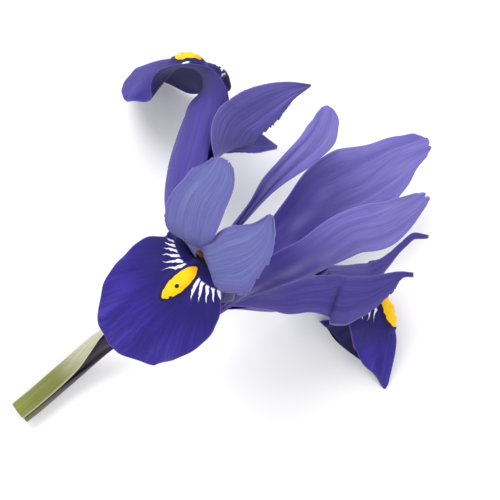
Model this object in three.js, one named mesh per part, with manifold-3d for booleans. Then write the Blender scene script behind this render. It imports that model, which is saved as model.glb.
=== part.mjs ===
// A dwarf iris flower, picked and laid on its side on a flat surface. Millimetres, +Z up.
//
// Three falls, three standards and three petal-like style arms stand on the rim of a long
// perianth tube, whose lower part is wrapped by the two valves of the spathe. One fall and its
// style arm point up and face +Z; the other two falls and the cut end of the tube touch the
// surface. Every petal is a thin blade: a flat outline, bent along its midrib.

import * as THREE from "three";
import { mergeVertices } from "three/addons/utils/BufferGeometryUtils.js";
import Module from "manifold-3d";

const wasm = await Module();
wasm.setup();

// ---- Driving dimensions -------------------------------------------------------------------

// Where the petals leave the tube, seen from the middle of the flower's footprint
const THROAT = new THREE.Vector3(-3.06, -10.71, 19.6);
const TABLE = -THROAT.z;

// The flower's own axis, leaning up out of the surface, and two directions square to it
const AXIS = new THREE.Vector3(0.71, 0.54, 0.45).normalize();
const RIGHTWARDS = new THREE.Vector3(AXIS.y, -AXIS.x, 0).normalize();
const UPWARDS = new THREE.Vector3().crossVectors(AXIS, RIGHTWARDS).negate();

const BLADE = 0.66; // thickness of petals, bracts and style arms
const CLEAR = 0.35; // gap between pieces that meet
const TUBE_RIM = 3.3; // radius of the tube where it opens
const TEPAL_RING = 2.75; // radius on which the falls and standards stand
const STAMEN_RING = 1.8;
const STYLE_RING = 0.95;

// ---- Curves and blades --------------------------------------------------------------------

const vector = ([x, y, z]) => new THREE.Vector3(x, y, z);

// A smooth line through rows of numbers of any length, for t from 0 to 1.
function through(rows, t) {
  const last = rows.length - 1;
  const place = THREE.MathUtils.clamp(t, 0, 1) * last;
  const i = Math.min(Math.floor(place), last - 1);
  const f = place - i;
  return rows[i].map((here, n) => {
    const next = rows[i + 1][n];
    const before = i > 0 ? rows[i - 1][n] : 2 * here - next;
    const after = i + 2 <= last ? rows[i + 2][n] : 2 * next - here;
    const slope = next - before;
    const square = 2 * before - 5 * here + 4 * next - after;
    const cube = 3 * here - before - 3 * next + after;
    return here + 0.5 * f * (slope + f * (square + f * cube));
  });
}

// The midrib of a blade: where it runs, and which way the blade's upper face looks on the way.
class Midrib {
  constructor(points, faces) {
    this.line = new THREE.CatmullRomCurve3(points, false, "catmullrom", 0.5);
    this.faces = new THREE.CatmullRomCurve3(faces, false, "catmullrom", 0.5);
  }

  // The point, and the directions along, across and out of the upper face, at a share of the length.
  frame(share) {
    const t = this.line.getUtoTmapping(THREE.MathUtils.clamp(share, 0, 1));
    const along = this.line.getTangent(t);
    const face = this.faces.getPoint(t);
    face.addScaledVector(along, -face.dot(along)).normalize();
    const side = new THREE.Vector3().crossVectors(along, face);
    return { point: this.line.getPoint(t), along, face, side };
  }
}

// A blade's surface, as a function of across (-1 to 1) and along (0 to 1). Each row of the
// outline holds: distance from the base, half widths left and right of the midrib, how far the
// margin lags behind the midrib, and the bend across the blade in radians per millimetre,
// positive where the margins rise. The two halves fold away from the face, past fold.from.
function bladeSurface(rib, outline, { ripple = 0, ridge, fold } = {}) {
  const length = outline.at(-1)[0];
  return (across, along) => {
    const [distance, left, right, lag, bend] = through(outline, along);
    const { point, face, side } = rib.frame((distance - lag * across ** 2) / length);
    const reach = across * (across < 0 ? left : right);
    const turn = bend * reach;
    const flat = Math.abs(bend) < 1e-3;
    let sideways = flat ? reach : Math.sin(turn) / bend;
    let rise = flat ? 0 : (1 - Math.cos(turn)) / bend;
    if (fold) {
      const ramp = THREE.MathUtils.smoothstep(distance, fold.from, fold.from + 5);
      const crease = 1 - Math.exp(-Math.abs(reach) / 0.8);
      const tilt = (across < 0 ? fold.left : fold.right) * ramp * crease;
      const outward = Math.abs(sideways);
      sideways = Math.sign(across) * (outward * Math.cos(tilt) + rise * Math.sin(tilt));
      rise = rise * Math.cos(tilt) - outward * Math.sin(tilt);
    }
    rise += ripple * Math.abs(across) ** 3 * Math.sin(9 * along + 2.5 * across) * along;
    if (ridge) {
      const inside = (distance - ridge.from) / (ridge.to - ridge.from);
      if (inside > 0 && inside < 1) {
        rise += ridge.height * Math.sin(Math.PI * inside) * Math.exp(-((reach / ridge.half) ** 2));
      }
    }
    return point.addScaledVector(side, sideways).addScaledVector(face, rise);
  };
}

// Shares from -1 to 1 for the columns of a blade, closer together near the midrib.
function columnsOf(count) {
  return Array.from({ length: count + 1 }, (_, j) => {
    const even = (2 * j) / count - 1;
    return Math.sign(even) * Math.abs(even) ** 1.25;
  });
}

// A closed solid of even thickness about a surface. Both faces are cut into the same triangles.
function bladeSolid(surface, rows, columns, thickness = BLADE) {
  const across = columnsOf(columns);
  const upper = [];
  const lower = [];
  for (let i = 0; i <= rows; i++) {
    for (const a of across) {
      const b = i / rows;
      const step = 0.01;
      const point = surface(a, b);
      const [a0, a1] = [Math.max(a - step, -1), Math.min(a + step, 1)];
      const [b0, b1] = [Math.max(b - step, 0), Math.min(b + step, 1)];
      const sideways = surface(a1, b).sub(surface(a0, b));
      const forwards = surface(a, b1).sub(surface(a, b0));
      const normal = sideways.cross(forwards).normalize();
      upper.push(point.clone().addScaledVector(normal, thickness / 2));
      lower.push(point.clone().addScaledVector(normal, -thickness / 2));
    }
  }
  const wide = columns + 1;
  const under = upper.length;
  const triangles = [];
  const quad = (p, q, r, s) => triangles.push(p, q, r, p, r, s);
  for (let i = 0; i < rows; i++) {
    for (let j = 0; j < columns; j++) {
      const [p, q] = [i * wide + j, i * wide + j + 1];
      const [r, s] = [q + wide, p + wide];
      triangles.push(p, q, r, p, r, s);
      triangles.push(under + p, under + r, under + q, under + p, under + s, under + r);
    }
  }
  for (let i = 0; i < rows; i++) {
    const [left, right] = [i * wide, i * wide + columns];
    quad(left, left + wide, under + left + wide, under + left);
    quad(right, under + right, under + right + wide, right + wide);
  }
  for (let j = 0; j < columns; j++) {
    const [base, tip] = [j, rows * wide + j];
    quad(base, under + base, under + base + 1, base + 1);
    quad(tip, tip + 1, under + tip + 1, under + tip);
  }
  return solidFrom([...upper, ...lower], triangles);
}

// A closed rod along a midrib. radii(share) gives its half width and half height there.
function rodSolid(rib, radii, rows, sides) {
  const points = [];
  const triangles = [];
  for (let i = 0; i <= rows; i++) {
    const { point, side, face } = rib.frame(i / rows);
    const [wide, high] = radii(i / rows);
    for (let j = 0; j < sides; j++) {
      const angle = (2 * Math.PI * j) / sides;
      points.push(
        point
          .clone()
          .addScaledVector(side, wide * Math.cos(angle))
          .addScaledVector(face, high * Math.sin(angle)),
      );
    }
  }
  for (let i = 0; i < rows; i++) {
    for (let j = 0; j < sides; j++) {
      const [p, q] = [i * sides + j, i * sides + ((j + 1) % sides)];
      triangles.push(p, p + sides, q, q, p + sides, q + sides);
    }
  }
  const top = rows * sides;
  for (let j = 1; j < sides - 1; j++) {
    triangles.push(0, j, j + 1, top, top + j + 1, top + j);
  }
  return solidFrom(points, triangles);
}

// ---- Solids -------------------------------------------------------------------------------

function solidFrom(points, triangles) {
  const geometry = new THREE.BufferGeometry().setFromPoints(points).setIndex(triangles);
  return solidOf(geometry);
}

function solidOf(geometry) {
  geometry.deleteAttribute("normal");
  geometry.deleteAttribute("uv");
  const merged = mergeVertices(geometry, 1e-4);
  return new wasm.Manifold(
    new wasm.Mesh({
      numProp: 3,
      vertProperties: merged.attributes.position.array,
      triVerts: new Uint32Array(merged.index.array),
    }),
  );
}

// Takes off what would lie under the surface, which leaves a small flat spot to rest on.
function laidDown(solid) {
  const deep = 40;
  const under = new THREE.BoxGeometry(400, 400, deep).translate(0, 0, TABLE - deep / 2);
  return solid.subtract(solidOf(under));
}

function meshOf(name, solid, material) {
  const { numProp, numVert, vertProperties, triVerts } = solid.getMesh();
  const positions = new Float32Array(numVert * 3);
  for (let i = 0; i < numVert; i++) {
    positions.set(vertProperties.subarray(i * numProp, i * numProp + 3), i * 3);
  }
  const geometry = new THREE.BufferGeometry()
    .setAttribute("position", new THREE.BufferAttribute(positions, 3))
    .setIndex(new THREE.BufferAttribute(triVerts, 1));
  geometry.computeVertexNormals();
  const mesh = new THREE.Mesh(geometry, material);
  mesh.name = name;
  return mesh;
}

// ---- Materials ----------------------------------------------------------------------------

const finish = (color, roughness) =>
  new THREE.MeshStandardMaterial({ color, roughness, metalness: 0 });
const FALL_VIOLET = finish("#3f2fa0", 0.55);
const STANDARD_BLUE = finish("#6a5fb8", 0.5);
const STYLE_BLUE = finish("#7a82c4", 0.5);
const TUBE_OLIVE = finish("#6b6a50", 0.6);
const SPATHE_GREEN = finish("#8e9a55", 0.6);
const ANTHER_BROWN = finish("#8a6238", 0.8);

// The place of a piece's foot on the tube's rim: a turn about the axis, and a radius.
function onRim(turn, radius, spread, lift = CLEAR) {
  const outward = RIGHTWARDS.clone()
    .multiplyScalar(Math.cos(turn))
    .addScaledVector(UPWARDS, Math.sin(turn));
  const point = outward.clone().multiplyScalar(radius).addScaledVector(AXIS, lift);
  const shoot = point.clone().addScaledVector(AXIS, 2).addScaledVector(outward, spread);
  return { point, shoot, inward: outward.clone().negate() };
}

const degrees = THREE.MathUtils.degToRad;

// ---- Falls --------------------------------------------------------------------------------

// A channelled haft that widens at once into a round blade. Each outline holds the distance
// from the rim, the half widths left and right of the midrib, the lag and the bend.
const FALLS = {
  front: {
    turn: 100,
    haft: 26,
    crease: 26,
    fold: [0, 0],
    outline: [
      [0, 1.6, 1.6, 0, 0.37],
      [6.5, 2.5, 2.5, 0, 0.34],
      [13, 3.2, 3.2, 0, 0.3],
      [19.5, 3.8, 3.8, 0, 0.24],
      [24.44, 5.2, 7.2, 0, 0.06],
      [27.2, 4.91, 7.3, 1.6, -0.02],
      [31, 8.52, 9.2, 1.6, -0.03],
      [36, 9.94, 9.3, 1.2, -0.04],
      [41.5, 9.05, 8.28, 1.8, -0.04],
      [46, 7.63, 5.91, 3, -0.04],
    ],
    points: [
      [1.4, 1.8, 9],
      [1.2, 4, 16],
      [0.1, 5.7, 22.5],
      [0.6, 6.5, 27],
      [-2.5, 3.9, 29.6],
      [-6.5, 0.4, 28.7],
      [-14.1, -5.9, 24],
    ],
    faces: [
      [0.75, 0.6, 0.1],
      [0.7, 0.7, 0.2],
      [0.6, 0.75, 0.3],
      [0.4, 0.55, 0.75],
      [0.05, 0.1, 1],
      [0, 0, 1],
      [-0.15, -0.25, 1],
    ],
  },
  right: {
    turn: -38,
    haft: 32.4,
    crease: 26.7,
    fold: [1.12, 1.05],
    outline: [
      [0, 1.5, 1.5, 0, 0.37],
      [6.67, 2.5, 2.5, 0, 0.34],
      [13.34, 3.4, 3.4, 0, 0.3],
      [20.01, 4.2, 4.03, 0, 0.24],
      [25.73, 5.62, 4.26, 0, 0.12],
      [29.54, 5, 2.4, 0.4, 0.02],
      [32.88, 10.4, 6.85, -0.6, -0.01],
      [36.69, 11.8, 7.88, 0.62, -0.02],
      [40.98, 14.07, 7.79, 0.48, -0.02],
      [45.75, 11.38, 6.4, -0.71, -0.02],
      [50.04, 2.62, 2.59, -0.1, -0.02],
      [52.42, 0.5, 0.71, 0, 0],
    ],
    points: [
      [8, -1, -2],
      [12.5, -1.4, -5.4],
      [17.2, -0.7, -8.2],
      [22.5, 0.4, -10.6],
      [27, 4.8, -11.5],
      [29.7, 3, -11],
      [32, -0.4, -11.3],
      [33.3, -3.6, -12.5],
      [34.1, -7.8, -15.6],
      [32.8, -15.5, -19.7],
    ],
    faces: [
      [-0.2, 0.9, 0.4],
      [0, 0.95, 0.2],
      [0.1, 0.95, 0.1],
      [0.2, 0.95, 0.1],
      [0.3, 0.9, 0.1],
      [0.6, 0.75, 0.1],
      [0.95, 0.4, 0.1],
      [1, 0, 0.1],
      [0.95, -0.15, 0],
      [0.9, -0.2, -0.1],
    ],
  },
  back: {
    turn: 200,
    haft: 39,
    crease: 39,
    fold: [0.35, 0.6],
    outline: [
      [0, 1.5, 1.5, 0, 0.37],
      [7, 2.7, 2.8, 0, 0.32],
      [14, 4.8, 3.7, 0, 0.27],
      [21, 5.3, 3.9, 0, 0.25],
      [27, 4.4, 3.9, 0, 0.24],
      [32, 5.4, 4.4, 0, 0.18],
      [36.5, 6.8, 6.2, 0, 0.06],
      [40.2, 8.4, 8.6, 1.6, -0.02],
      [44, 10.2, 10.4, 1.6, -0.03],
      [49, 10.8, 10.8, 1.2, -0.036],
      [54.5, 9.8, 9.8, 1.8, -0.036],
      [59, 7.4, 7.4, 3, -0.036],
    ],
    points: [
      [-0.9, 6.9, 0],
      [-3.9, 11.4, -0.3],
      [-4.7, 16.6, 0],
      [-4, 21.9, 0.2],
      [-2.7, 26.7, 0],
      [-1, 32, -0.6],
      [0.7, 37.3, -1.8],
      [-0.9, 41.4, -3.8],
      [-6.6, 42, -11.4],
      [-12, 41, -18.6],
    ],
    faces: [
      [0.8, -0.3, -0.2],
      [0.75, 0, -0.5],
      [0.65, 0.05, -0.7],
      [0.62, 0.1, -0.75],
      [0.62, 0.15, -0.75],
      [0.65, 0.3, -0.6],
      [0.5, 0.6, -0.2],
      [0, 0.95, 0.3],
      [-0.15, 0.98, 0.15],
      [-0.3, 0.95, 0.15],
    ],
  },
};

function fallRib({ turn, points, faces }) {
  const foot = onRim(degrees(turn), TEPAL_RING, 0.5);
  return new Midrib(
    [foot.point, foot.shoot, ...points.map(vector)],
    [foot.inward, foot.inward, ...faces.map(vector)],
  );
}

function fallLength({ outline }) {
  return outline.at(-1)[0];
}

function fall(name, shape) {
  const { haft, crease, outline } = shape;
  const ridge = { from: haft - 3, to: haft + 9, height: 1.0, half: 1.6 };
  const fold = { from: crease, left: shape.fold[0], right: shape.fold[1] };
  const surface = bladeSurface(fallRib(shape), outline, { ripple: 0.3, ridge, fold });
  return meshOf(`fall_${name}`, laidDown(bladeSolid(surface, 20, 10)), FALL_VIOLET);
}

// ---- Standards ----------------------------------------------------------------------------

// A narrow claw that widens slowly to a long blade, with the same columns as a fall's outline
const STANDARDS = {
  left: {
    turn: 150,
    spread: 2,
    outline: [
      [0, 0.7, 0.7, 0, 0.37],
      [7, 0.8, 0.8, 0, 0.4],
      [14, 1.02, 1.02, 0, 0.4],
      [21, 1.15, 0.9, 0, 0.4],
      [27, 2.45, 1.28, 0, 0.26],
      [34, 2.22, 2.69, 0, 0.16],
      [40, 2.2, 3.14, 0.8, 0.1],
      [44, 1.9, 2.67, 2, 0.1],
    ],
    points: [
      [1, 6.2, 5.5],
      [3.9, 10.3, 8],
      [7.2, 14.3, 9.5],
      [11.2, 19.1, 10],
      [14.9, 22.9, 10],
      [19.7, 28.1, 10],
      [21.6, 32.9, 10],
    ],
    faces: [
      [0.8, -0.3, -0.4],
      [0.75, -0.4, 0.1],
      [0.5, -0.4, 0.7],
      [0.4, -0.3, 0.9],
      [0.4, -0.2, 0.9],
      [0.3, -0.2, 0.9],
      [0.3, -0.2, 0.9],
    ],
  },
  near: {
    turn: 31,
    spread: 1,
    outline: [
      [0, 0.65, 0.65, 0, 0.42],
      [6, 1.21, 1.21, 0, 0.34],
      [13, 2.04, 3.95, 0, 0.23],
      [21, 2.37, 4.67, 0, 0.12],
      [30, 4.16, 4.03, 0, 0.07],
      [39, 4.11, 3.75, 0.8, 0.06],
      [46, 2.13, 2.29, 2.6, 0.06],
    ],
    points: [
      [6.2, 0.4, 5.4],
      [11.3, 3, 10.9],
      [17.6, 6.1, 13.5],
      [24.7, 11.5, 14.3],
      [30.7, 13.4, 15.1],
      [37.7, 17.9, 15.7],
    ],
    faces: [
      [-0.5, 0.7, -0.4],
      [-0.3, 0.6, -0.7],
      [-0.25, 0.5, -0.8],
      [-0.2, 0.4, -0.9],
      [-0.2, 0.4, -0.9],
      [-0.2, 0.4, -0.9],
    ],
  },
  far: {
    turn: 267,
    spread: 1.2,
    outline: [
      [0, 0.77, 0.77, 0, 0.37],
      [6, 1.43, 1.43, 0, 0.3],
      [13, 2.16, 2.85, 0, 0.2],
      [21, 4.06, 4.85, 0, 0.1],
      [30, 7.34, 5.62, 0, 0.06],
      [39, 4.4, 5.74, 0.8, 0.05],
      [46, 2.88, 2.49, 2.6, 0.05],
    ],
    points: [
      [8.7, 7.3, -5.4],
      [15.5, 13.4, -8.1],
      [20.9, 17.7, -8.1],
      [27.4, 20.6, -7],
      [33.2, 24.6, -5.6],
      [39.7, 27.4, -5],
    ],
    faces: [
      [-0.6, -0.4, 0.7],
      [-0.3, -0.3, 0.9],
      [-0.15, -0.3, 0.95],
      [-0.1, -0.2, 1],
      [-0.1, -0.1, 1],
      [-0.1, -0.1, 1],
    ],
  },
};

function standard(name, { turn, spread, outline, points, faces }) {
  const foot = onRim(degrees(turn), TEPAL_RING, spread);
  const rib = new Midrib(
    [foot.point, foot.shoot, ...points.map(vector)],
    [foot.inward, foot.inward, ...faces.map(vector)],
  );
  const surface = bladeSurface(rib, outline, { ripple: 0.5 });
  return meshOf(`standard_${name}`, laidDown(bladeSolid(surface, 14, 8)), STANDARD_BLUE);
}

// ---- Style arms ---------------------------------------------------------------------------

// A style arm arches over the haft of its fall and is split at its end into two upturned crest
// lobes. Each half, from the base to the tip of its lobe, is one blade; the two meet in a keel.
const HALF_OUTLINE = [
  // share of the arm's length, half widths, lag, bend
  [0, 0.55, 0.55, 0, 0],
  [0.3, 1.8, 1.8, 0, -0.1],
  [0.6, 3, 3, 0, -0.12],
  [0.88, 3.8, 3.8, 0, -0.1],
];
const ARM_POINTS = 7;
const ARM_START = [TEPAL_RING - STYLE_RING, 0.25, 0]; // lift, offset from the keel, outward lean

const ARMS = { front: 20.5, right: 24, back: 20 }; // length at which the two halves part

// Each lobe: which half it ends, the lift, offset and lean of that half's midrib where the lobe
// starts, its outline past the arm, and where its midrib runs.
const LOBES = {
  front: [
    {
      side: 1,
      place: [4.5, 3.1, 0.5],
      fold: [0, 0],
      outline: [
        [4, 3.08, 3.01, 0, 0],
        [8.4, 1.59, 3.3, 0, 0.05],
        [11.5, 3.84, 4.29, 0, 0.06],
        [15, 4.76, 4.83, 0.2, 0.06],
        [18.5, 4.7, 3.92, 0.8, 0.05],
        [21.5, 3.82, 3.66, 1.4, 0.03],
        [24, 2.16, 1.79, 1, 0.03],
      ],
      points: [
        [0.4, 10, 26],
        [-0.4, 10, 29.6],
        [-0.8, 11.5, 32],
        [-0.4, 14.3, 33.2],
        [0.6, 17.1, 33.6],
        [2.9, 20.3, 33.3],
        [4.2, 23.5, 32],
      ],
      faces: [
        [0.5, 0.85, 0.1],
        [0.4, 0.7, -0.5],
        [0.25, 0.3, -0.9],
        [0.1, 0.1, -1],
        [0, 0, -1],
        [0, -0.1, -1],
        [0, -0.2, -1],
      ],
    },
    {
      side: -1,
      place: [4.5, 3.1, 0.5],
      fold: [0, 0],
      outline: [
        [4, 2.5, 3.3, 0, 0],
        [7.5, 2.44, 2.58, 0, 0.03],
        [11, 4.64, 2.87, 0, 0.04],
        [14.5, 7.05, 4.07, 0, 0.05],
        [17.5, 4.63, 4.1, 0.3, 0.04],
        [20.5, 2.47, 3.36, 0.6, 0.02],
        [23.5, 0.59, 0.79, 0.6, 0],
      ],
      points: [
        [3, 7.4, 27.4],
        [1.8, 7.4, 30.2],
        [3.1, 7.4, 31.8],
        [5.5, 8.3, 32.8],
        [8.5, 9.3, 33.2],
        [10.6, 11.4, 33],
        [11.9, 14.5, 32.3],
      ],
      faces: [
        [0.8, 0.5, 0.2],
        [0.8, 0.3, -0.5],
        [0.4, 0.1, -0.9],
        [0.1, 0, -1],
        [0, 0, -1],
        [0, 0, -1],
        [0, 0, -1],
      ],
    },
  ],
  right: [
    {
      side: 1,
      place: [3.1, 4.4, 1.7],
      fold: [0, 0],
      outline: [
        [3, 1.89, 7.04, 0.41, -0.03],
        [6, 1.94, 5.48, -0.05, -0.02],
        [9, 1.6, 3.44, -0.01, 0],
        [12, 1.05, 2.11, 0.19, 0],
        [14, 0.61, 0.48, 0.09, 0],
        [16, 0.35, 0.33, 0, 0],
      ],
      points: [
        [25.3, 2.7, -4.9],
        [29.4, 2.9, -4.5],
        [33.9, 4.5, -4],
        [36.6, 4.7, -4],
      ],
      faces: [
        [0.35, 0.35, 0.87],
        [0.15, 0.2, 0.95],
        [0, 0.1, 1],
        [0, 0, 1],
      ],
    },
    {
      side: -1,
      place: [4.5, 3.1, 0.5],
      fold: [0, 0],
      outline: [
        [2, 2.68, 3.37, 0, -0.04],
        [6, 3.21, 3.99, 0, -0.02],
        [10, 1.29, 1.83, 0, 0],
        [14, 1.08, 0.45, 0, 0],
        [17, 0.2, 0.85, 0, 0],
        [19.1, 0.2, 0.2, 0, 0],
      ],
      points: [
        [26, 5.1, -9.7],
        [28.6, 5, -8.5],
        [30.6, 6, -7.5],
        [33.2, 8.1, -6.8],
        [35.1, 9.8, -6.2],
        [36.8, 11.7, -5.8],
        [39.3, 11.3, -5.6],
      ],
      faces: [
        [0, 0.8, 0.5],
        [-0.1, 0.7, 0.6],
        [-0.2, 0.6, 0.7],
        [-0.2, 0.5, 0.8],
        [-0.2, 0.4, 0.85],
        [-0.1, 0.3, 0.9],
        [0, 0.2, 1],
      ],
    },
  ],
  back: [
    {
      side: -1,
      place: [6.5, 1.2, 0.3],
      fold: [-0.2, -0.15],
      outline: [
        [2, 3.58, 6.22, 0, -0.04],
        [6, 4.89, 5.08, 0, 0],
        [10, 6.12, 4.15, 0.3, 0.03],
        [14, 6.16, 3.91, 0.4, 0.04],
        [18, 3.33, 1.71, 0.4, 0.02],
        [21.5, 0.2, 0.2, 0, 0],
      ],
      points: [
        [5.5, 28.9, -0.5],
        [8.6, 31.6, 1],
        [12, 33.6, 2.2],
        [15.4, 35.4, 3],
        [18.8, 36.8, 3.4],
      ],
      faces: [
        [0.5, -0.3, 0.7],
        [0.3, -0.4, 0.8],
        [0.25, -0.4, 0.85],
        [0.2, -0.3, 0.9],
        [0.2, -0.3, 0.9],
      ],
    },
    {
      side: 1,
      place: [6.5, 1, 0.5],
      fold: [0, 0],
      outline: [
        [2, 3.2, 3.2, 0, 0],
        [6, 3.2, 3.06, 0, 0],
        [10, 2.49, 1.62, 0, 0],
        [13, 2.52, 1.05, 0, 0],
        [16, 0.2, 0.2, 0, 0],
      ],
      points: [
        [2.3, 27.8, -5.2],
        [5.6, 27.4, -4.8],
        [9.4, 26.8, -4.2],
        [13.2, 26.6, -3.6],
      ],
      faces: [
        [0.4, -0.2, 0.9],
        [0.2, -0.2, 0.95],
        [0.1, -0.2, 1],
        [0.1, -0.2, 1],
      ],
    },
  ],
};

function styleArm(name) {
  const arm = ARMS[name];
  const under = fallRib(FALLS[name]);
  const halves = LOBES[name].map(({ side, place, fold, outline, points, faces }) => {
    const line = [];
    const looks = [];
    for (let k = 0; k < ARM_POINTS; k++) {
      const share = k / (ARM_POINTS - 1);
      const { point, face, side: sideways } = under.frame((share * arm) / fallLength(FALLS[name]));
      const [lift, offset, lean] = ARM_START.map((from, n) => from + share * (place[n] - from));
      line.push(point.addScaledVector(face, lift).addScaledVector(sideways, side * offset));
      looks.push(face.addScaledVector(sideways, side * lean));
    }
    const rib = new Midrib([...line, ...points.map(vector)], [...looks, ...faces.map(vector)]);
    const rows = [
      ...HALF_OUTLINE.map(([share, ...row]) => [share * arm, ...row]),
      ...outline.map(([past, ...row]) => [arm + past, ...row]),
    ];
    const folds = { from: arm, left: fold[0], right: fold[1] };
    return bladeSolid(bladeSurface(rib, rows, { ripple: 0.5, fold: folds }), 16, 6);
  });
  return meshOf(`style_arm_${name}`, laidDown(halves[0].add(halves[1])), STYLE_BLUE);
}

// ---- Stamens ------------------------------------------------------------------------------

// A filament under each style arm, with a long anther at its end
const STAMEN_LIFT = [[TEPAL_RING - STAMEN_RING], [0.9], [1.0], [1.6], [1.8]];
const STAMEN_POINTS = 9;
const STAMENS = { front: [25.5, 1.3], right: [24, 0], back: [20.5, 0] }; // length, lean to the side

function stamen(name) {
  const under = fallRib(FALLS[name]);
  const [reach, aside] = STAMENS[name];
  const points = [];
  const faces = [];
  for (let k = 0; k < STAMEN_POINTS; k++) {
    const share = k / (STAMEN_POINTS - 1);
    const { point, face, side } = under.frame((share * reach) / fallLength(FALLS[name]));
    const lift = through(STAMEN_LIFT, share)[0];
    points.push(point.addScaledVector(face, lift).addScaledVector(side, aside * share ** 2));
    faces.push(face);
  }
  const rib = new Midrib(points, faces);
  const radii = (share) => {
    const anther = THREE.MathUtils.smoothstep(share, 0.5, 0.58);
    const end = Math.sqrt(Math.max(1 - Math.max((share - 0.85) / 0.16, 0) ** 2, 0.05));
    return [0.34 + 0.55 * anther * end, 0.32 + 0.24 * anther * end];
  };
  return meshOf(`stamen_${name}`, rodSolid(rib, radii, 14, 7), ANTHER_BROWN);
}

// ---- Perianth tube and spathe -------------------------------------------------------------

const TUBE_POINTS = [
  AXIS.clone().multiplyScalar(-0.01).toArray(),
  AXIS.clone().multiplyScalar(-1.8).toArray(),
  [-4.2, -2.6, -3.2],
  [-7.9, -3.8, -6.2],
  [-12.4, -4.8, -9.8],
  [-17.1, -7.1, -13.3],
  [-23.2, -12.2, -16.6],
  [-29.1, -17.3, -17.5],
  [-32.3, -19.9, -17.5],
];
const UP = new THREE.Vector3(0, 0, 1);

function tubeRib() {
  const up = TUBE_POINTS.map(() => UP.clone());
  up[0] = UPWARDS.clone();
  return new Midrib(TUBE_POINTS.map(vector), up);
}

function perianthTube() {
  const radii = (share) => {
    const flare = Math.exp(-share / 0.055);
    const radius = 1.25 + (TUBE_RIM - 1.25) * flare;
    return [radius, radius];
  };
  return meshOf("perianth_tube", rodSolid(tubeRib(), radii, 30, 10), TUBE_OLIVE);
}

// The two valves of the spathe wrap the tube edge to edge and end in points beside it.
const SPATHE_RADIUS = 1.95;
const VALVES = {
  // turn about the tube, half width as an angle, share of the tube where the valve's point lies
  bract: { turn: 149, wrap: 96, start: 0.45 },
  bracteole: { turn: -32, wrap: 78, start: 0.47 },
};
const VALVE_WIDTHS = [[1], [1], [0.98], [0.88], [0.62], [0.16]]; // from the cut end to the point

function spatheValve(name, { turn, wrap, start }) {
  const tube = tubeRib();
  const surface = (across, along) => {
    const { point, side, face } = tube.frame(1 - along * (1 - start));
    const angle = degrees(turn + across * wrap * through(VALVE_WIDTHS, along)[0]);
    const radius = SPATHE_RADIUS + 0.25 * THREE.MathUtils.smoothstep(along, 0.72, 1);
    return point
      .addScaledVector(side, -radius * Math.cos(angle))
      .addScaledVector(face, radius * Math.sin(angle));
  };
  return meshOf(`spathe_${name}`, laidDown(bladeSolid(surface, 16, 8, 0.6)), SPATHE_GREEN);
}

// ---- The flower ---------------------------------------------------------------------------

const flower = new THREE.Group();
flower.position.copy(THROAT);
flower.add(perianthTube());
for (const [name, valve] of Object.entries(VALVES)) flower.add(spatheValve(name, valve));
for (const [name, shape] of Object.entries(FALLS)) {
  flower.add(fall(name, shape), stamen(name), styleArm(name));
}
for (const [name, shape] of Object.entries(STANDARDS)) flower.add(standard(name, shape));

export default flower;
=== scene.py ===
import math

import bpy
import numpy as np
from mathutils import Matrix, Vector


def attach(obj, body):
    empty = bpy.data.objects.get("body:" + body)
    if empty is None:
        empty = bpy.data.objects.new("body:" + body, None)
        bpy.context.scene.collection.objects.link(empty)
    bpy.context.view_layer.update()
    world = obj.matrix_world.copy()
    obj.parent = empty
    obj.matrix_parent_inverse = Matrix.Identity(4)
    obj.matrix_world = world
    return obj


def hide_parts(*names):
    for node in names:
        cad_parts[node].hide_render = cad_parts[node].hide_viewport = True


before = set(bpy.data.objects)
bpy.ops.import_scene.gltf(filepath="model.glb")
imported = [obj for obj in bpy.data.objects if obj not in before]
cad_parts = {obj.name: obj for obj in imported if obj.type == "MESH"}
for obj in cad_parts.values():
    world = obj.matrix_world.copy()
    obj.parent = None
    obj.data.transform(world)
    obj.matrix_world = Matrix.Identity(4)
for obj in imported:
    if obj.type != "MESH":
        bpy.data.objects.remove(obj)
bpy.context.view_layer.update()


# ---- The table top, the light and the camera ----
# A picked iris lies on a white table in soft light from all round, and the camera hangs
# straight above it, so that the flower looks as if it stood upright.

MM = 0.001
THROAT = np.array([-3.06, -10.71, 19.6])  # where the petals leave the tube
CAMERA_FROM_THROAT = (8.53, 8.98, 400)

scene = bpy.context.scene
scene.view_settings.view_transform = "Standard"

camera = bpy.data.objects.new("camera", bpy.data.cameras.new("camera"))
camera.data.lens = 169.4
camera.location = Vector(THROAT + CAMERA_FROM_THROAT) * MM
camera.data.clip_start, camera.data.clip_end = 0.01, 20
scene.collection.objects.link(camera)
scene.camera = camera

table_mesh = bpy.data.meshes.new("table_top")
table_mesh.from_pydata([(-2, -2, 0), (2, -2, 0), (2, 2, 0), (-2, 2, 0)], [], [(0, 1, 2, 3)])
table = bpy.data.objects.new("table_top", table_mesh)
table.location.z = -0.0003
scene.collection.objects.link(table)
table_white = bpy.data.materials.new("table_white")
table_white.use_nodes = True
table_skin = table_white.node_tree.nodes["Principled BSDF"]
table_skin.inputs["Base Color"].default_value = (0.92, 0.92, 0.93, 1)
table_skin.inputs["Roughness"].default_value = 0.9
table_mesh.materials.append(table_white)

room = bpy.data.worlds.new("room")
room.use_nodes = True
room.node_tree.nodes["Background"].inputs["Color"].default_value = (1, 1, 1, 1)
room.node_tree.nodes["Background"].inputs["Strength"].default_value = 0.9
scene.world = room


def soft_lamp(name, place, size, watts):
    """A round lamp that looks at the flower."""
    lamp = bpy.data.objects.new(name, bpy.data.lights.new(name, "AREA"))
    lamp.data.shape, lamp.data.size, lamp.data.energy = "DISK", size, watts
    lamp.location = place
    lamp.rotation_euler = (Vector((0, 0, 0.02)) - Vector(place)).to_track_quat("-Z", "Y").to_euler()
    scene.collection.objects.link(lamp)


soft_lamp("window_lamp", (-0.25, 0.55, 0.75), 0.5, 6.0)
soft_lamp("fill_lamp", (0.6, -0.3, 0.9), 0.7, 3.0)


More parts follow.
